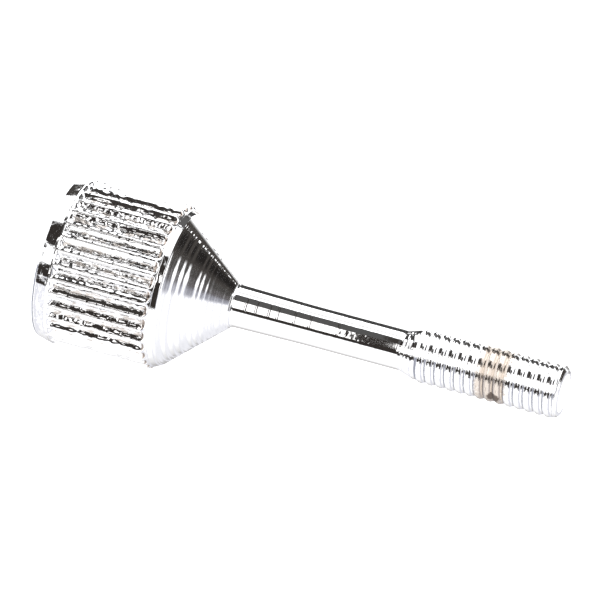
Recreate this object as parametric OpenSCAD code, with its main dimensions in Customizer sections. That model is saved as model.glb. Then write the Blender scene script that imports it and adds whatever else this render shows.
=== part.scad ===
// Thumb screw: a knurled head, a cone under it, a thin neck and a short
// threaded end, all turned from one bar and plated.
// It stands on the flat end of its head. Z runs along the axis to the tip.

/* [Knurled head] */
// Diameter over the ridges of the knurl
head_d = 13; // [10:0.1:18]
// Length of the ridges at full height
ridge_len = 7.9; // [4:0.1:16]
// Number of flutes around the head
flute_count = 35; // [20:1:44]
// Depth of a flute below the ridges
flute_depth = 0.36; // [0.15:0.01:0.45]
// Width of a flute's flat bottom
flute_floor_w = 0.28; // [0.1:0.01:0.5]
// Angle between the two sides of a flute
flute_angle = 90; // [60:1:100]
// From the rear end of the ridges to the start of a flute's bottom
flute_setback = 0.55; // [0.1:0.05:1]
// Slope at which a flute rises to its closed rear end
rear_rise_angle = 46; // [25:1:70]
// Slope at which a flute rises to its closed front end
front_rise_angle = 31; // [25:1:70]

/* [Head edges] */
// Length of the rear bevel
rear_bevel_len = 0.8; // [0.4:0.05:2]
// How far the rear bevel drops below the ridges
rear_bevel_drop = 0.2; // [0.1:0.01:0.6]
// Radius that rounds the rear edge
rear_round_r = 0.5; // [0.1:0.05:0.6]
// Length of the front bevel
front_bevel_len = 0.4; // [0.2:0.05:1]
// How far the front bevel drops below the ridges
front_bevel_drop = 0.33; // [0.1:0.01:0.8]
// Length of the plain collar between the front bevel and the cone
collar_len = 0.4; // [0.1:0.05:1]
// How far the collar tapers
collar_drop = 0.17; // [0.05:0.01:0.5]

/* [Cone and neck] */
// Included angle of the cone under the head
cone_angle = 85; // [60:1:100]
// Radius of the fillet between cone and neck
cone_fillet_r = 0.4; // [0.2:0.05:1]
// Neck diameter next to the cone
neck_root_d = 3.36; // [2.6:0.01:4.1]
// Neck diameter along its straight stretch
neck_d = 3.16; // [2.4:0.01:3.9]
// Length of the neck's tapered stretch
neck_taper_len = 5.7; // [2:0.1:8]
// Length of the neck's straight stretch
neck_len = 7.8; // [3:0.1:20]

/* [Threaded end] */
// Major diameter of the thread
thread_d = 4.17; // [3.4:0.01:6]
// Length of the thread, chamfer included
thread_len = 11.3; // [5:0.1:25]
// Length of the flare from neck to thread
flare_len = 1.6; // [0.8:0.1:3]
// Chamfer at the tip
tip_chamfer = 0.28; // [0.1:0.01:0.5]

/* [Hidden] */
$fn = 96;
PLATING = [0.86, 0.87, 0.88];

// Radii, from the widest to the thinnest
ridge_r = head_d / 2;
floor_r = ridge_r - flute_depth;
rear_r = ridge_r - rear_bevel_drop;
collar_r = ridge_r - front_bevel_drop;
cone_r = collar_r - collar_drop;
thread_r = thread_d / 2;
neck_root_r = neck_root_d / 2;
neck_r = neck_d / 2;

// Fillet between cone and neck: what it takes off the cone's drop, and its length
half_cone = cone_angle / 2;
fillet_drop = cone_fillet_r * (1 - cos(half_cone));
fillet_len = cone_fillet_r * sin(half_cone);

// Stations along the axis, from the rear face to the tip
ridge_start = rear_round_r + rear_bevel_len;
ridge_end = ridge_start + ridge_len;
collar_start = ridge_end + front_bevel_len;
cone_start = collar_start + collar_len;
cone_end = cone_start + (cone_r - neck_root_r - fillet_drop) / tan(half_cone);
neck_start = cone_end + fillet_len;
straight_start = neck_start + neck_taper_len;
flare_start = straight_start + neck_len;
thread_start = flare_start + flare_len;
tip_z = thread_start + thread_len;

// Points of an arc about [cx, cz], from angle a to angle b
function arc(cx, cz, r, a, b, steps = 8) =
    [for (i = [0:steps]) let (t = a + (b - a) * i / steps) [cx + r * cos(t), cz + r * sin(t)]];

// Outline of the whole screw, radius against height
function outline() = concat(
    [[0, 0]],
    arc(rear_r - rear_round_r, rear_round_r, rear_round_r, -90, 0),
    [[ridge_r, ridge_start], [ridge_r, ridge_end], [collar_r, collar_start], [cone_r, cone_start]],
    arc(neck_root_r + cone_fillet_r, neck_start, cone_fillet_r, 180 + half_cone, 180),
    [[neck_r, straight_start], [neck_r, flare_start], [thread_r, thread_start],
     [thread_r, tip_z - tip_chamfer], [thread_r - tip_chamfer, tip_z], [0, tip_z]]
);

// Turned blank, before the knurl
module blank() {
    rotate_extrude() polygon(outline());
}

// One flute, cut along +X: a V with a flat bottom that rises to a closed end
// at the rear and at the front
module flute() {
    reach = 2 * flute_depth;
    half_floor = flute_floor_w / 2;
    half_mouth = half_floor + reach * tan(flute_angle / 2);
    rear_reach = reach / tan(rear_rise_angle);
    front_reach = reach / tan(front_rise_angle);
    floor_start = ridge_start + flute_setback;
    intersection() {
        translate([0, 0, floor_start - rear_reach])
            linear_extrude(ridge_end - floor_start + rear_reach + front_reach)
                polygon([
                    [floor_r, -half_floor], [floor_r + reach, -half_mouth],
                    [floor_r + reach, half_mouth], [floor_r, half_floor]
                ]);
        rotate([90, 0, 0])
            linear_extrude(4 * half_mouth, center = true)
                polygon([
                    [floor_r, floor_start], [floor_r + reach, floor_start - rear_reach],
                    [floor_r + reach, ridge_end + front_reach], [floor_r, ridge_end]
                ]);
    }
}

module thumb_screw() {
    color(PLATING) difference() {
        blank();
        // The first flute faces -Y
        for (i = [0:flute_count - 1]) rotate([0, 0, i * 360 / flute_count - 90]) flute();
    }
}

thumb_screw();
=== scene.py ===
import math

import bpy
from mathutils import Matrix, Vector, noise


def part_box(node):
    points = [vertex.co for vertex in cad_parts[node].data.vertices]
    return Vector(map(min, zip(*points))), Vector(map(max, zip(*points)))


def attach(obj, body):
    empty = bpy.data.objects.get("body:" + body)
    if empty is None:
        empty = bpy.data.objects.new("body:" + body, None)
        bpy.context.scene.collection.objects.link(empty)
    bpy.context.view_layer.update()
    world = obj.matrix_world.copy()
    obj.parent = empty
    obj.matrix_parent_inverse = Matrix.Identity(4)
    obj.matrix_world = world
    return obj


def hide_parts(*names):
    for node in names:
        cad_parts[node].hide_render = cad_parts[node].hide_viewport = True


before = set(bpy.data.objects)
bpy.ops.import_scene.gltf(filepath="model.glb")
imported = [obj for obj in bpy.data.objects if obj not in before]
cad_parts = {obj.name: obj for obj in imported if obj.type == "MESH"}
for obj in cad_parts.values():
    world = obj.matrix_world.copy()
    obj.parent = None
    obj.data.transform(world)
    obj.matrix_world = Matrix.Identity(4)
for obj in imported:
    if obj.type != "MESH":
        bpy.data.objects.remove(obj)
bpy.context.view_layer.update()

mm = 0.001
mergeGap = 0.0005 * mm           # points closer than this become one
cutGap = 1e-7                    # how near a cut a point counts as on it
rimReach = 0.004                 # in mm, how near its height a rim is looked for
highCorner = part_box("thumb_screw")[1]
ridgeRadius = highCorner.y / mm  # a ridge stands on +Y
tipHeight = highCorner.z / mm


# small helpers

def startClean():
    if bpy.context.object and bpy.context.object.mode != "OBJECT":
        bpy.ops.object.mode_set(mode="OBJECT")
    bpy.ops.object.select_all(action="DESELECT")


def pick(piece):
    startClean()
    bpy.context.view_layer.objects.active = piece
    piece.select_set(True)


def smoothStep(low, high, value):
    t = min(1, max(0, (value - low) / (high - low)))
    return t * t * (3 - 2 * t)


def plateau(start, full, fade, end, value):
    # 0 outside start and end, 1 from full to fade, eased between
    return smoothStep(start, full, value) * (1 - smoothStep(fade, end, value))


def softMax(a, b, blend):
    # like max, with the corner eased over the blend
    h = max(0, blend - abs(a - b)) / blend
    return max(a, b) + h * h * blend / 4


def softMin(a, b, blend):
    return -softMax(-a, -b, blend)


def spaced(start, legs):
    # each leg has the point where it ends, and about how long its steps are
    points = [start]
    for (r1, z1), step in legs:
        r0, z0 = points[-1]
        count = max(1, round(math.hypot(r1 - r0, z1 - z0) / step))
        points += [(r0 + (r1 - r0) * i / count, z0 + (z1 - z0) * i / count)
                   for i in range(1, count + 1)]
    return points


def arcPoints(centreR, centreZ, radius, startAngle, endAngle, steps):
    stepAngle = (endAngle - startAngle) / steps
    angles = [math.radians(startAngle + stepAngle * i) for i in range(steps + 1)]
    return [(centreR + radius * math.cos(angle), centreZ + radius * math.sin(angle))
            for angle in angles]


def along(start, end, share):
    return tuple(a + (b - a) * share for a, b in zip(start, end))


def turnedPiece(name, outline, columns, cap):
    # a ring at the outline's first point, drawn out point by point as on a lathe
    startClean()
    radius, height = outline[0]
    bpy.ops.mesh.primitive_circle_add(vertices=columns, radius=radius * mm, fill_type=cap,
                                      location=(0, 0, height * mm))
    piece = bpy.context.object
    piece.name = name
    bpy.ops.object.transform_apply(location=True)
    bpy.ops.object.mode_set(mode="EDIT")
    bpy.ops.mesh.select_mode(type="EDGE")
    bpy.ops.mesh.select_all(action="SELECT")
    for (r0, z0), (r1, z1) in zip(outline, outline[1:]):
        bpy.ops.mesh.extrude_edges_move(
            TRANSFORM_OT_translate={"value": (0, 0, (z1 - z0) * mm)})
        bpy.ops.transform.resize(value=(r1 / r0, r1 / r0, 1), center_override=(0, 0, z1 * mm))
    bpy.ops.object.mode_set(mode="OBJECT")
    return piece


def selectRims(piece, heights):
    # selects the open rims that lie at these heights
    mesh = piece.data
    sides = [0] * len(mesh.edges)
    for loop in mesh.loops:
        sides[loop.edge_index] += 1
    for part in (mesh.vertices, mesh.edges, mesh.polygons):
        part.foreach_set("select", [False] * len(part))
    for edge in mesh.edges:
        if sides[edge.index] == 1:
            ends = [mesh.vertices[i].co.z / mm for i in edge.vertices]
            edge.select = any(all(abs(z - height) < rimReach for z in ends)
                              for height in heights)


# the head: rear face, rounded rim, knurl, collar and cone

head = {
    # columns of points in half a flute, from its middle to near the ridge top
    "columnPlaces": (0, 0.07, 0.115, 0.165, 0.31, 0.44, 0.52),
    "flutes": 35,
    "fluteFloor": 0.28,       # width of a flute's flat bottom
    "fluteDepth": 0.36,
    "sideSlope": 45,
    "rearRise": (1.85, 46),   # where the bottom ends, and how steeply it rises
    "frontRise": (9.2, 31),
    "rimRadius": 6.3,
    "rimRound": 0.5,
    "arcSteps": 6,
    "ridgeStart": 1.3,
    "ridgeEase": (0.02, 0.08),    # takes off the corner where the ridges start
    "middle": (2.1, 9.0),         # between the flutes' two ends
    "ridgeEnd": 9.2,
    "collar": (6.17, 9.6),
    "coneTop": (6.0, 10.0),
    "coneAngle": 85,
    "filletRadius": 0.4,
    "neckRoot": 1.68,
    "crestEase": 0.09,
    "cornerEase": 0.06,
    "frontEase": 0.12,
    "pressFrom": 0.1,         # the flutes and dents stay this far from the rear face
    "pressShort": 0.02,       # and this far from the cone

    "cutRange": (0.04, 0.30),     # depth of cut over which crest turns to flute
    "floorRange": (0.12, 0.24),   # distance from a flute's middle over which floor turns to side
    "floorLump": 0.045,       # plating lumps down in the flutes
    "sideLump": 0.015,
    "lumpScale": (3.2, 2.6),      # across and along a flute
    "lumpSeed": (7.37, 0.5),      # gives every flute lumps of its own
    "smallLump": (0.6, 2.3),      # height and fineness against the large lumps
    # flutes with lumpy sides, counted from -Y towards +X: from which height to which,
    # and how lumpy
    "roughSides": {
        -6: (1.0, 9.0, 0.15), -5: (1.0, 9.0, 0.11), -4: (1.0, 9.0, 0.20), -3: (1.0, 5.4, 0.20),
        2: (1.0, 9.0, 0.07), 3: (1.0, 9.0, 0.07), 4: (1.0, 8.6, 0.09), 5: (4.0, 9.0, 0.08),
    },
    "roughEase": 0.5,
    "crestLump": 0.06,
    "crestScale": (2.3, 0.8),     # along and across a ridge
    "crestSeed": (3.13, 0.4),
    "ridgeZone": (1.15, 1.45, 9.3, 9.6),
    "bevelLump": 0.030,       # unevenness of the two bevels and the collar
    "bevelScale": (1.3, 3.1),
    "smallBevelLump": 0.5,
    "bevelZone": (0.1, 0.4, 9.75, 9.95),
}

halfCone = head["coneAngle"] / 2
filletDrop = head["filletRadius"] * (1 - math.cos(math.radians(halfCone)))
coneWidth = head["coneTop"][0] - head["neckRoot"] - filletDrop
coneEnd = head["coneTop"][1] + coneWidth / math.tan(math.radians(halfCone))
neckStart = coneEnd + head["filletRadius"] * math.sin(math.radians(halfCone))

rim = arcPoints(head["rimRadius"] - head["rimRound"], head["rimRound"], head["rimRound"],
                -90, 0, head["arcSteps"])
fillet = arcPoints(head["neckRoot"] + head["filletRadius"], neckStart, head["filletRadius"],
                   180 + halfCone, 180, head["arcSteps"])

# short legs keep the corners of the front bevel, the collar and the cone crisp
ridgeFront = (ridgeRadius, head["ridgeEnd"])
easeIn, easeDown = head["ridgeEase"]
headOutline = rim[:-1] + spaced(rim[-1], [
    ((ridgeRadius - easeIn, head["ridgeStart"] - easeDown), 0.16),
    ((ridgeRadius, head["ridgeStart"]), 0.08),
    ((ridgeRadius, head["middle"][0]), 0.055),
    ((ridgeRadius, head["middle"][1]), 0.11),
    (ridgeFront, 0.07),
    (along(ridgeFront, head["collar"], 0.07), 0.05),
    (along(ridgeFront, head["collar"], 0.93), 0.07),
    (head["collar"], 0.05),
    (along(head["collar"], head["coneTop"], 0.09), 0.05),
    (along(head["collar"], head["coneTop"], 0.91), 0.12),
    (head["coneTop"], 0.05),
    (along(head["coneTop"], fillet[0], 0.006), 0.05),
    (fillet[0], 0.23),
]) + fillet[1:-1]


def fluteRadius(across, height):
    # how deep a flute cuts at this place: flat bottom, two sides and the rise at each end
    floorRadius = ridgeRadius - head["fluteDepth"]
    sideRun = abs(across) - head["fluteFloor"] / 2
    sides = floorRadius + sideRun * math.tan(math.radians(head["sideSlope"]))
    rearEnd, rearSlope = head["rearRise"]
    frontEnd, frontSlope = head["frontRise"]
    rear = floorRadius + (rearEnd - height) * math.tan(math.radians(rearSlope))
    front = floorRadius + (height - frontEnd) * math.tan(math.radians(frontSlope))
    bottom = softMax(sides, floorRadius, head["cornerEase"])
    return softMax(softMax(bottom, rear, head["cornerEase"]), front, head["frontEase"])


def pressFlutes(piece):
    fluteAngle, perHalf = 2 * math.pi / head["flutes"], len(head["columnPlaces"])
    places = (*head["columnPlaces"], fluteAngle / 2 * ridgeRadius)
    lumpAcross, lumpAlong = head["lumpScale"]
    lumpStep, lumpStart = head["lumpSeed"]
    smallShare, smallScale = head["smallLump"]
    crestAlong, crestAcross = head["crestScale"]
    crestStep, crestStart = head["crestSeed"]
    coarseBevel, fineBevel = head["bevelScale"]
    for vertex in piece.data.vertices:
        x, y, z = vertex.co / mm
        if not head["pressFrom"] < z < head["coneTop"][1] - head["pressShort"]:
            continue

        # slides the point round to its column's place in the nearest flute
        radius, angle = math.hypot(x, y), math.atan2(y, x) + math.pi / 2
        number = round(angle / fluteAngle)
        column = round((angle / fluteAngle - number) * 2 * perHalf)
        across = math.copysign(places[abs(column)], column)
        angle = number * fluteAngle + across / ridgeRadius - math.pi / 2

        cut = fluteRadius(across, z)
        depth = smoothStep(*head["cutRange"], radius - cut)
        bottom = 1 - smoothStep(*head["floorRange"], abs(across))
        spot = Vector((across * lumpAcross, z * lumpAlong, number * lumpStep + lumpStart))
        lump = noise.noise(spot) + smallShare * noise.noise(spot * smallScale)
        start, end, extraLump = head["roughSides"].get(number, (0, 0, 0))
        rough = plateau(start - head["roughEase"], start, end, end + head["roughEase"], z)
        sideLump = head["sideLump"] + extraLump * rough
        swell = depth * (bottom * head["floorLump"] + (1 - bottom) * sideLump) * lump

        spot = Vector((number * crestStep + crestStart, z * crestAlong, across * crestAcross))
        crest = head["crestLump"] * (1 - depth) * noise.noise(spot)
        inKnurl = plateau(*head["ridgeZone"], z)
        spot = Vector((x, y, z))
        dent = head["bevelLump"] * (1 - inKnurl) * plateau(*head["bevelZone"], z)
        dent *= (noise.noise(spot * coarseBevel)
                 + head["smallBevelLump"] * noise.noise(spot * fineBevel))

        shaped = softMin(cut + swell, radius, head["crestEase"])
        shaped = min(radius, shaped + min(0, crest) * inKnurl + dent)
        vertex.co.x = shaped * math.cos(angle) * mm
        vertex.co.y = shaped * math.sin(angle) * mm


# one column of points stands on -Y, in the middle of flute 0
columns = head["flutes"] * len(head["columnPlaces"]) * 2
headShell = turnedPiece("headShell", headOutline, columns, "NGON")
pressFlutes(headShell)
print("head turned and fluted:", len(headShell.data.polygons), "faces")


# the neck: taper, straight stretch and the start of the flare

neck = {
    "columns": 84,
    "radius": 1.58,
    "straightStart": 5.7,    # above the fillet
    "straightEnd": 13.5,
    "flareLength": 1.6,
    "threadRadius": 2.085,
    "joinHeight": 0.6,       # how far up the flare the neck is carried
    "longStep": 0.3,
    "flareStep": 0.12,
}

straightStart = neckStart + neck["straightStart"]
flareStart = neckStart + neck["straightEnd"]
flareSlope = (neck["threadRadius"] - neck["radius"]) / neck["flareLength"]


def flareRadius(height):
    return min(neck["threadRadius"], neck["radius"] + max(0, height - flareStart) * flareSlope)


neckTop = flareStart + neck["joinHeight"]
neckOutline = spaced((head["neckRoot"], neckStart), [
    ((neck["radius"], straightStart), neck["longStep"]),
    ((neck["radius"], flareStart), neck["longStep"]),
    ((flareRadius(neckTop), neckTop), neck["flareStep"]),
])
neckShell = turnedPiece("neckShell", neckOutline, neck["columns"], "NOTHING")
print("neck turned:", len(neckShell.data.polygons), "faces")


# the thread: one turn's section swept up the helix

thread = {
    "pitch": 0.794,
    "depth": 0.17,
    "crestPower": 1.8,       # higher is a broader crest and a tighter root
    "sectionSteps": 10,
    "stepsPerTurn": 84,
    "turns": 18,
    "crestAtBack": 29.83,    # height of the first clear crest on -X
    "turnsBelow": 2,         # swept below it, where the thread runs out
    "runOut": (29.15, 30.1),
    "chamfer": 0.28,
    "wear": 0.004,           # unevenness, as a share of the radius
    "wearScale": 2.2,
    "gap": 0.1,              # between neck and thread, bridged when they are joined
}

threadBottom = neckTop + thread["gap"]
pitch = thread["pitch"]
firstCrest = thread["crestAtBack"] - pitch / 2 - thread["turnsBelow"] * pitch  # on +X


def threadRadius(turnPart, height):
    # turnPart runs from -0.5 to 0.5 about the crest
    hill = 1 - abs(2 * turnPart) ** thread["crestPower"]
    full = smoothStep(*thread["runOut"], height)
    radius = flareRadius(height) - thread["depth"] * full * (1 - hill)
    return min(radius, neck["threadRadius"] - thread["chamfer"] + max(0, tipHeight - height))


def pressThread(piece):
    scale = thread["wearScale"]
    for vertex in piece.data.vertices:
        x, y, z = vertex.co / mm
        radius, angle = math.hypot(x, y), math.atan2(y, x)
        turnPart = (z - firstCrest) / pitch - angle / (2 * math.pi)
        turnPart -= round(turnPart)
        wear = 1 + thread["wear"] * noise.noise(Vector((x * scale, y * scale, z * scale)))
        shaped = threadRadius(turnPart, z) * min(1, wear)
        vertex.co.x *= shaped / radius
        vertex.co.y *= shaped / radius


# a grid one cell wide loses one of its long edges, and the other is the section
startClean()
bpy.ops.mesh.primitive_grid_add(x_subdivisions=1, y_subdivisions=thread["sectionSteps"],
                                size=1)
threadShell = bpy.context.object
threadShell.name = "threadShell"
bpy.ops.object.mode_set(mode="EDIT")
bpy.ops.mesh.select_mode(type="VERT")
bpy.ops.mesh.select_all(action="DESELECT")
bpy.ops.object.mode_set(mode="OBJECT")
for vertex in threadShell.data.vertices:
    vertex.select = vertex.co.x > 0
bpy.ops.object.mode_set(mode="EDIT")
bpy.ops.mesh.delete(type="VERT")
bpy.ops.object.mode_set(mode="OBJECT")
for vertex in threadShell.data.vertices:
    part = vertex.co.y
    vertex.co = Vector((neck["threadRadius"], 0, firstCrest + part * pitch)) * mm

sweep = threadShell.modifiers.new("sweep", "SCREW")
sweep.axis = "Z"
sweep.angle = 2 * math.pi
sweep.screw_offset = pitch * mm
sweep.iterations = thread["turns"]
sweep.steps = sweep.render_steps = thread["stepsPerTurn"]
sweep.use_merge_vertices = False
pick(threadShell)
bpy.ops.object.modifier_apply(modifier="sweep")

bpy.ops.object.mode_set(mode="EDIT")
bpy.ops.mesh.select_mode(type="VERT")
bpy.ops.mesh.select_all(action="SELECT")
bpy.ops.mesh.remove_doubles(threshold=mergeGap)
# trims both ends and cuts an edge round the start of the chamfer
for height, clearBelow, clearAbove in (
        (threadBottom, True, False), (tipHeight - thread["chamfer"], False, False),
        (tipHeight, False, True)):
    bpy.ops.mesh.select_all(action="SELECT")
    bpy.ops.mesh.bisect(plane_co=(0, 0, height * mm), plane_no=(0, 0, 1), use_fill=False,
                        clear_inner=clearBelow, clear_outer=clearAbove, threshold=cutGap)
bpy.ops.object.mode_set(mode="OBJECT")
pressThread(threadShell)
print("thread swept:", len(threadShell.data.polygons), "faces")


# one closed skin

pick(headShell)
neckShell.select_set(True)
threadShell.select_set(True)
bpy.ops.object.join()
thumbScrew = bpy.context.object
thumbScrew.name = "thumbScrew"
thumbScrew.data.name = "thumbScrew"

for below, above in ((headOutline[-1][1], neckStart), (neckTop, threadBottom)):
    selectRims(thumbScrew, (below, above))
    bpy.ops.object.mode_set(mode="EDIT")
    bpy.ops.mesh.select_mode(type="EDGE")
    bpy.ops.mesh.bridge_edge_loops()
    bpy.ops.object.mode_set(mode="OBJECT")

selectRims(thumbScrew, (tipHeight,))
bpy.ops.object.mode_set(mode="EDIT")
bpy.ops.mesh.select_mode(type="EDGE")
bpy.ops.mesh.mark_sharp()
bpy.ops.mesh.edge_face_add()
bpy.ops.mesh.select_all(action="SELECT")
bpy.ops.mesh.remove_doubles(threshold=mergeGap)
bpy.ops.mesh.normals_make_consistent(inside=False)
bpy.ops.object.mode_set(mode="OBJECT")
bpy.ops.object.shade_smooth()
thumbScrew.data.polygons[0].use_smooth = False  # the flat rear face
triangles = sum(len(face.vertices) - 2 for face in thumbScrew.data.polygons)
print("screw closed:", triangles, "triangles")


# shader wiring

class Wire:
    # a node's output that can be used in Python expressions
    def __init__(self, bench, socket):
        self.bench, self.socket = bench, socket

    def maths(self, operation, first, second):
        return self.bench.add("Math", {"operation": operation}, {0: first, 1: second})

    def __add__(self, other): return self.maths("ADD", self, other)
    def __radd__(self, other): return self.maths("ADD", other, self)
    def __sub__(self, other): return self.maths("SUBTRACT", self, other)
    def __rsub__(self, other): return self.maths("SUBTRACT", other, self)
    def __mul__(self, other): return self.maths("MULTIPLY", self, other)
    def __rmul__(self, other): return self.maths("MULTIPLY", other, self)
    def __truediv__(self, other): return self.maths("DIVIDE", self, other)
    def __pow__(self, other): return self.maths("POWER", self, other)
    def __neg__(self): return self.maths("MULTIPLY", self, -1.0)

    def step(self, low, high):
        # 0 below low, 1 above high, eased between
        return self.bench.add("MapRange", {"interpolation_type": "SMOOTHSTEP"},
                              {"Value": self, "From Min": low, "From Max": high})

    def window(self, low, rise, high, fall):
        return self.step(low - rise, low + rise) * (1 - self.step(high - fall, high + fall))


class Bench:
    # the nodes of one material or world, which start empty
    def __init__(self, owner):
        owner.use_nodes = True
        self.tree = owner.node_tree
        self.tree.nodes.clear()

    def add(self, kind, settings, sockets, out=0):
        # out is the number of the output that is wanted
        made = self.tree.nodes.new("ShaderNode" + kind)
        for name, value in settings.items():
            setattr(made, name, value)
        for name, value in sockets.items():
            if isinstance(value, Wire):
                self.tree.links.new(value.socket, made.inputs[name])
            else:
                made.inputs[name].default_value = value
        return Wire(self, made.outputs[out]) if made.outputs else made

    def parts(self, vector):
        split = self.add("SeparateXYZ", {}, {0: vector}).socket.node
        return [Wire(self, output) for output in split.outputs]

    def blend(self, factor, first, second):
        def colour(value):
            return value if isinstance(value, Wire) else (*value, 1)
        return self.add("Mix", {"data_type": "RGBA"},
                        {0: factor, 6: colour(first), 7: colour(second)}, 2)

    def cloud(self, vector, scale, detail, roughness):
        return self.add("TexNoise", {}, {"Vector": vector, "Scale": scale, "Detail": detail,
                                         "Roughness": roughness})

    def rings(self, line, scale):
        # noise that changes along one line only, as tool marks do
        return self.add("TexNoise", {"noise_dimensions": "1D"},
                        {"W": line, "Scale": scale, "Detail": 1.0})


# the plating

plating = {
    "chrome": (0.90, 0.905, 0.92),
    "fluteTint": (0.46, 0.41, 0.37),      # patchy brownish grey down in the flutes, which also dulls them
    "fluteEndShade": (0.24, 0.18, 0.14),       # painted shade in the flutes' front ends, under the front bevel
    "stain": (0.52, 0.44, 0.37),
    "stainHeight": 35.9,
    "stainSpread": 1.35,
    "spot": (0.13, 0.10, 0.085),
    "spotPlace": (1.72, -1.05, 36.25),
    "spotSize": 0.55,
    "roughness": 0.05,

    # where the finishes lie along the screw: start, its softness, end, its softness
    "knurlZone": (1.6, 0.12, 9.35, 0.15),
    "fluteEndZone": (9.22, 0.04, 9.56, 0.03),
    "coneStart": (10.02, 0.03),
    "coneFade": 0.1,
    "neckZone": (0.05, 0.6, 0.3),     # softness, how far up the flare it goes, softness
    "threadRise": (0.7, 1.3),         # above the start of the flare
    "endZone": (0.02, 0.01),          # how thick the two end faces are taken to be, softness
    "shoulder": (9.95, 10.0),         # where collar turns to cone
    "fluteRange": (0.33, 0.25),       # so far under the ridges it is all flute, and none
    "bevelSlope": 0.82,
    "fluteEndShadeRange": (0.02, 0.08),        # so far under the front bevel there is no painted shade, and all

    # noises: scale, detail, roughness
    "coarseNoise": (3.4, 3.0, 0.6),
    "fineNoise": (9.0, 2.0, 0.6),
    "smearNoise": (2.9, 1.5, 0.5),
    "smearStretch": (1, 1, 0.45),
    "neckNoise": (2.4, 1.0, 0.5),
    "coneRingScale": 2.8,
    "coneScratchScale": 5.5,
    "endRingScale": 9.0,

    # heights of the relief in mm
    "fluteSmear": 0.055,
    "smearDrop": 0.035,               # taken off fluteSmear on the side towards +X
    "dropRange": (2.3, 2.9),
    "fluteGrain": 0.005,
    "ridgeLumps": 0.004,
    "bevelLumps": 0.008,
    "coneRings": 0.0045,
    "coneScratches": 0.0008,
    "coneSteps": 0.11,                # as a share of a step's half width
    "neckWaves": 0.006,
    "neckGrooves": 0.005,
    "threadLumps": 0.014,
    "endRings": 0.004,
    "endStep": 0.07,
    "endStepRange": (1.5, 1.82),      # distance from the axis

    # where the neck's rings are, and where it is wavy
    "neckRings": (15.8, 16.65, 17.7, 18.4, 19.75, 21.0, 23.3, 28.85),
    "grooveShape": (0.07, 0.05),      # half width and softness
    "waveZone": (22.3, 2.8, 26.3, 0.5),
    "waveRest": 0.25,                 # how wavy the rest of the neck is
    # steps left by the tool on the cone: height and half width
    "coneStepPlaces": ((10.12, 0.08), (10.65, 0.14), (11.10, 0.16), (11.46, 0.19),
                       (12.21, 0.15), (12.54, 0.11), (12.89, 0.07)),

    # flute tint, painted shade in the flute ends, stain and spot: where they fade, how much they
    # cover and how much they dull
    "fluteTintEdge": (0.49, 0.57),
    "fluteTintShare": 0.75,
    "fluteEndShadeShare": 0.85,
    "stainRagged": 1.6,
    "stainEdge": (0.45, 1.1),
    "stainShare": 0.95,
    "crestClean": 0.15,               # less stain on the crests
    "crestRange": (1.95, 2.05),
    "spotRagged": 0.8,
    "spotEdge": (0.75, 1.1),
    "spotShare": 0.95,
    "fluteTintDulls": 0.16,
    "scratchDulls": 0.05,
    "stainDulls": 0.12,
    "spotDulls": 0.3,
}

finish = bpy.data.materials.new("brightPlating")
bench = Bench(finish)
where = bench.add("TexCoord", {}, {}, 3)  # object coordinates
place = bench.add("VectorMath", {"operation": "SCALE"}, {0: where, "Scale": 1 / mm})
x, y, z = bench.parts(place)
fromAxis = (x * x + y * y) ** 0.5

allFlute, noFlute = plating["fluteRange"]
onKnurl = z.window(*plating["knurlZone"])
inFlute = onKnurl * (1 - fromAxis.step(ridgeRadius - allFlute, ridgeRadius - noFlute))
bevelRadius = head["collar"][0] + (head["collar"][1] - z) * plating["bevelSlope"]
# where the painted shade lies: the flutes' front ends, under the front bevel
inFluteEnd = (z.window(*plating["fluteEndZone"])
              * (bevelRadius - fromAxis).step(*plating["fluteEndShadeRange"]))
neckEase, neckReach, neckFade = plating["neckZone"]
endReach, endEase = plating["endZone"]
onCone = z.window(*plating["coneStart"], neckStart, plating["coneFade"])
onNeck = z.window(neckStart, neckEase, flareStart + neckReach, neckFade)
onThread = z.step(*(flareStart + rise for rise in plating["threadRise"]))
onEnds = 1 - z.window(endReach, endEase, tipHeight - endReach, endEase)

coarse = bench.cloud(place, *plating["coarseNoise"])
fine = bench.cloud(place, *plating["fineNoise"])
stretched = bench.add("VectorMath", {"operation": "MULTIPLY"},
                      {0: place, 1: plating["smearStretch"]})
smear = bench.cloud(stretched, *plating["smearNoise"])
fluteTintPatches = smear.step(*plating["fluteTintEdge"])

# tool marks: rings and steps up the cone, grooves on the neck, circles on the two end faces
coneRings = bench.rings(z, plating["coneRingScale"]) - 0.5
coneScratch = bench.rings(z, plating["coneScratchScale"])
coneSteps = sum(z.step(ring - size, ring + size) * size
                for ring, size in plating["coneStepPlaces"])
grooveHalf, grooveEase = plating["grooveShape"]
neckGrooves = sum(z.window(ring - grooveHalf, grooveEase, ring + grooveHalf, grooveEase)
                  for ring in plating["neckRings"])
neckWaves = bench.cloud(place, *plating["neckNoise"]) - 0.5
wavy = z.window(*plating["waveZone"]) + plating["waveRest"]
endRings = bench.rings(fromAxis, plating["endRingScale"])
endStep = fromAxis.step(*plating["endStepRange"])

lumps, grains = coarse - 0.5, fine - 0.5
smearHeight = plating["fluteSmear"] - x.step(*plating["dropRange"]) * plating["smearDrop"]
onBevels = (1 - onKnurl) * (1 - z.step(*plating["shoulder"]))
relief = (
    inFlute * ((smear - 0.5) * smearHeight + grains * plating["fluteGrain"])
    + onKnurl * (1 - inFlute) * lumps * plating["ridgeLumps"]
    + onBevels * lumps * plating["bevelLumps"]
    + onCone * (coneRings * plating["coneRings"]
                + (coneScratch - 0.5) * plating["coneScratches"])
    - coneSteps * plating["coneSteps"]
    + onNeck * (wavy * neckWaves * plating["neckWaves"] - neckGrooves * plating["neckGrooves"])
    + onThread * lumps * plating["threadLumps"]
    + onEnds * (endRings * plating["endRings"] - endStep * plating["endStep"]))
bump = bench.add("Bump", {}, {"Strength": 1.0, "Distance": mm, "Height": relief})

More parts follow.
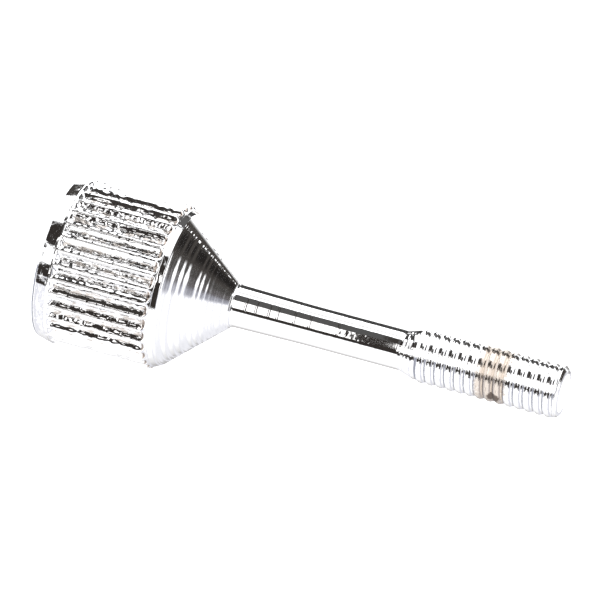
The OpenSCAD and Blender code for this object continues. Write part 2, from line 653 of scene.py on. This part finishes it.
nearStain = (z - plating["stainHeight"]) / plating["stainSpread"]
stainRim = nearStain * nearStain + lumps * plating["stainRagged"]
stainBand = 1 - stainRim.step(*plating["stainEdge"])
stainShare = plating["stainShare"] - plating["crestClean"] * fromAxis.step(*plating["crestRange"])
towardSpot = bench.add("VectorMath", {"operation": "DISTANCE"},
                       {0: place, 1: plating["spotPlace"]}, 1)
spotRim = towardSpot / plating["spotSize"] + grains * plating["spotRagged"]
spot = 1 - spotRim.step(*plating["spotEdge"])

# the flutes turn a patchy brownish grey and duller
colour = bench.blend(inFlute * fluteTintPatches * plating["fluteTintShare"], plating["chrome"], plating["fluteTint"])
# painted shade darkens the flutes' front ends
colour = bench.blend(inFluteEnd * plating["fluteEndShadeShare"], colour, plating["fluteEndShade"])
colour = bench.blend(stainBand * stainShare, colour, plating["stain"])
colour = bench.blend(spot * plating["spotShare"], colour, plating["spot"])
roughness = (plating["roughness"] + inFlute * fluteTintPatches * plating["fluteTintDulls"]
             + onCone * coneScratch * plating["scratchDulls"]
             + stainBand * plating["stainDulls"] + spot * plating["spotDulls"])

shader = bench.add("BsdfPrincipled", {}, {
    "Base Color": colour, "Metallic": 1.0, "Roughness": roughness, "Normal": bump})
bench.add("OutputMaterial", {}, {"Surface": shader})

thumbScrew.data.materials.clear()
thumbScrew.data.materials.append(finish)
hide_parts("thumb_screw")
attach(thumbScrew, "root")
print("plating made")


# floor, light and camera

studio = {
    "floorRadius": 2.0,
    "floorSides": 96,
    "floorColour": (0.80, 0.80, 0.80),
    "floorGlow": 0.75,
    "floorRoughness": 0.9,
    "floorShine": 0.2,
    "wall": (1.6, 1.6, 1.6),       # what the screw reflects where nothing hangs
    "backdrop": (1.1, 1.1, 1.1),   # what is seen past the floor
    "eye": 14,                     # degrees up to the eye that the surround is painted for
    "cardDistance": 60,            # in mm
    "cardColour": (1, 0.98, 0.96),
}

# what hangs round the table, placed by the way a face has to point to show it:
# turn about the screw from low to high, tilt towards the tip from low to high,
# the softness of each, and the colour; a later one covers an earlier one
dark = (0.035, 0.030, 0.027)
dusk = (0.065, 0.060, 0.055)
hangings = {
    "lowerSide": (-130, -60, -90, 90, 22, 1, (0.80, 0.79, 0.79)),
    "lowerRidges": (-130, -70, -6, 6, 6, 1.5, (0.62, 0.60, 0.59)),
    "lowerEdge": (-130, -80, -90, 90, 5, 1, (0.52, 0.51, 0.51)),
    "upperEdge": (82, 130, -90, 30, 4, 1, (0.80, 0.78, 0.75)),
    "underCone": (-130, -60, 41, 43.9, 26, 1, (0.84, 0.84, 0.89)),
    "paleThread": (-130, -8, -15.5, -10, 3, 1, (0.90, 0.90, 0.95)),
    "underThread": (-130, -8, -39, -21, 3, 3, (0.38, 0.39, 0.45)),
    "overhead": (29, 64, -25, 25, 2, 3, (2.6, 2.6, 2.6)),
    "topRim": (34, 40, -6, 6, 1.5, 1.5, (0.92, 0.91, 0.90)),
    "bottomRim": (-41, -33.5, -6, 6, 1.5, 1.5, (0.94, 0.93, 0.93)),
    "backThread": (-130, -8, 26, 36, 3, 2, (0.80, 0.80, 0.86)),
    "threadLine": (-14, -8, -22, 20, 1, 3, (0.060, 0.055, 0.050)),
    "tipEdge": (-181, 181, 55, 84, 1, 5, (0.84, 0.84, 0.88)),
    "gap": (-16.5, 13, -5, 6, 1, 1.5, dark),
    "gapSide": (12, 27.5, -8, 17, 1, 2, (0.045, 0.040, 0.036)),
    "collarRing": (-19, 22, 18, 29, 1.5, 2, dark),
    "frontBevel": (-20, 20, 36.5, 40.6, 2, 0.4, (0.050, 0.045, 0.040)),
    "collarTop": (54, 67.5, 17, 38, 1.5, 2, dusk),
    "bevelLow": (-19, -6.5, -17, -5, 1, 0.8, dark),
    "bevelMiddle": (6, 24, -17, -5, 1, 0.8, dark),
    "bevelTop": (48, 66, -17, -7, 1, 0.8, dusk),
    "bevelLink": (-7, 6, -13.2, -12.4, 1, 0.3, dark),
    "coneSheen": (-130, 8, 41.0, 42.2, 6, 0.3, (0.97, 0.97, 1.01)),
    "fringeFoot": (-5, 8, 41.5, 45.3, 4, 0.8, (0.66, 0.66, 0.73)),
    "fringeLow": (-4, 20, 41.8, 43.2, 4, 0.5, (0.30, 0.30, 0.34)),
    "fringeMiddle": (4, 20, 41.3, 43.8, 4, 0.4, (0.11, 0.10, 0.10)),
    "fringe": (14, 36, 41.0, 44.2, 6, 0.5, dusk),
    "fringeHigh": (17, 36, 41.0, 45.2, 3.5, 0.5, dusk),
    "curtain": (25, 65.5, 39.6, 49.0, 3.5, 0.5, (0.065, 0.058, 0.052)),
    "curtainHeart": (32, 51, 41.0, 44.6, 7, 0.8, (0.016, 0.014, 0.013)),
    "spark": (53.8, 56.2, 42.75, 43.7, 0.4, 0.2, (5, 5, 5)),
}

# cards round the screw that only its reflections see: angle about it from -Y towards -X,
# half width as an angle, lowest and highest edge, brightness
cards = {
    "neckLamp": (3.5, 19.5, 0.5, 9.7, 1.7),
    "neckFill": (-66, 24, 0.5, 14, 1.7),
    "threadLamp": (8, 16, 14.0, 36, 2.4),
    "highLamp": (8, 16, 51, 100, 1.7),
    "backCard": (128, 20, -4.0, 14.2, 0.06),
    "threadCard": (108.5, 13.5, 14.2, 45, 0.12),
    "wispCard": (156, 18, 34, 60, 0.38),
    "flareCard": (82, 34, -26, -15, 0.06),
    "stripCard": (40.5, 15.5, 0.5, 13.0, 0.10),
    "lowFloorLamp": (-20.6, 3.2, -30, -5.5, 1.7),
    "middleFloorLamp": (0, 3.2, -30, -5.5, 1.7),
    "highFloorLamp": (20.6, 3.2, -30, -5.5, 1.7),
}

startClean()
bpy.ops.mesh.primitive_circle_add(vertices=studio["floorSides"], radius=studio["floorRadius"],
                                  fill_type="NGON", location=(0, 0, 0))
floor = bpy.context.object
floor.name = "floor"
floor.visible_glossy = False
floor.visible_shadow = False
paper = bpy.data.materials.new("paper")
bench = Bench(paper)
shader = bench.add("BsdfPrincipled", {}, {
    "Base Color": (*studio["floorColour"], 1), "Roughness": studio["floorRoughness"],
    "Specular IOR Level": studio["floorShine"],
    "Emission Color": (1, 1, 1, 1), "Emission Strength": studio["floorGlow"]})
bench.add("OutputMaterial", {}, {"Surface": shader})
floor.data.materials.append(paper)

# the way a face points is halfway between the eye and what the face shows it
surround = bpy.data.worlds.new("surround")
bpy.context.scene.world = surround
bench = Bench(surround)
eyeHeight = math.radians(studio["eye"])
towardEye = Vector((0, -math.cos(eyeHeight), math.sin(eyeHeight)))
shown = bench.add("TexCoord", {}, {}, 0)  # the direction of what is reflected
between = bench.add("VectorMath", {"operation": "ADD"}, {0: shown, 1: towardEye})
facing = bench.add("VectorMath", {"operation": "NORMALIZE"}, {0: between})
east, north, high = bench.parts(facing)
turn = bench.add("Math", {"operation": "ARCTAN2"}, {0: -east, 1: -north}) * math.degrees(1)
tilt = bench.add("Math", {"operation": "ARCSINE"}, {0: high}) * math.degrees(1)

light = studio["wall"]
for turnLow, turnHigh, tiltLow, tiltHigh, turnSoft, tiltSoft, paint in hangings.values():
    here = (turn.window(turnLow, turnSoft, turnHigh, turnSoft)
            * tilt.window(tiltLow, tiltSoft, tiltHigh, tiltSoft))
    light = bench.blend(here, light, paint)
room = bench.add("Background", {}, {"Color": light, "Strength": 1.0})
backdrop = bench.add("Background", {}, {"Color": (*studio["backdrop"], 1), "Strength": 1.0})
seen = bench.add("LightPath", {}, {}, 0)
mixed = bench.add("MixShader", {}, {0: seen, 1: room, 2: backdrop})
bench.add("OutputWorld", {}, {"Surface": mixed})

away = studio["cardDistance"] * mm
for name, (angle, halfWidth, lowEdge, highEdge, brightness) in cards.items():
    startClean()
    side = math.radians(angle)
    bpy.ops.mesh.primitive_plane_add(
        size=1, rotation=(math.radians(90), 0, -side),
        location=(-math.sin(side) * away, -math.cos(side) * away, (lowEdge + highEdge) / 2 * mm))
    card = bpy.context.object
    card.name = name
    card.scale = (2 * away * math.tan(math.radians(halfWidth)), (highEdge - lowEdge) * mm, 1)
    card.visible_camera = card.visible_diffuse = card.visible_shadow = False
    sheet = bpy.data.materials.new(name)
    bench = Bench(sheet)
    glow = bench.add("Emission", {}, {"Color": (*studio["cardColour"], 1),
                                      "Strength": brightness})
    bench.add("OutputMaterial", {}, {"Surface": glow})
    card.data.materials.append(sheet)

view = {
    "aim": (-1.65, 0, 19.40),   # in mm
    "elevation": 14,
    "roll": 15.04,
    "distance": 0.8,            # in metres, as the next two
    "width": 0.04596,           # what the frame takes in at the screw
    "farthest": 10,
    "sensor": 36,
}
rise = math.radians(view["elevation"])
towardCamera = Vector((0, -math.cos(rise), math.sin(rise)))
alongScrew = (Vector((0, 0, 1)) - towardCamera * towardCamera.z).normalized()
acrossScrew = towardCamera.cross(alongScrew).normalized()
roll = math.radians(view["roll"])
right = alongScrew * math.cos(roll) + acrossScrew * math.sin(roll)
top = acrossScrew * math.cos(roll) - alongScrew * math.sin(roll)

cameraData = bpy.data.cameras.new("camera")
cameraData.sensor_width = view["sensor"]
cameraData.lens = view["sensor"] * view["distance"] / view["width"]
cameraData.clip_end = view["farthest"]
camera = bpy.data.objects.new("camera", cameraData)
bpy.context.scene.collection.objects.link(camera)
cameraPlace = Vector(view["aim"]) * mm + towardCamera * view["distance"]
cameraTurn = Matrix((right, top, towardCamera)).transposed().to_4x4()
camera.matrix_world = Matrix.Translation(cameraPlace) @ cameraTurn
bpy.context.scene.camera = camera
bpy.context.scene.view_settings.view_transform = "Standard"
print("studio and camera set")
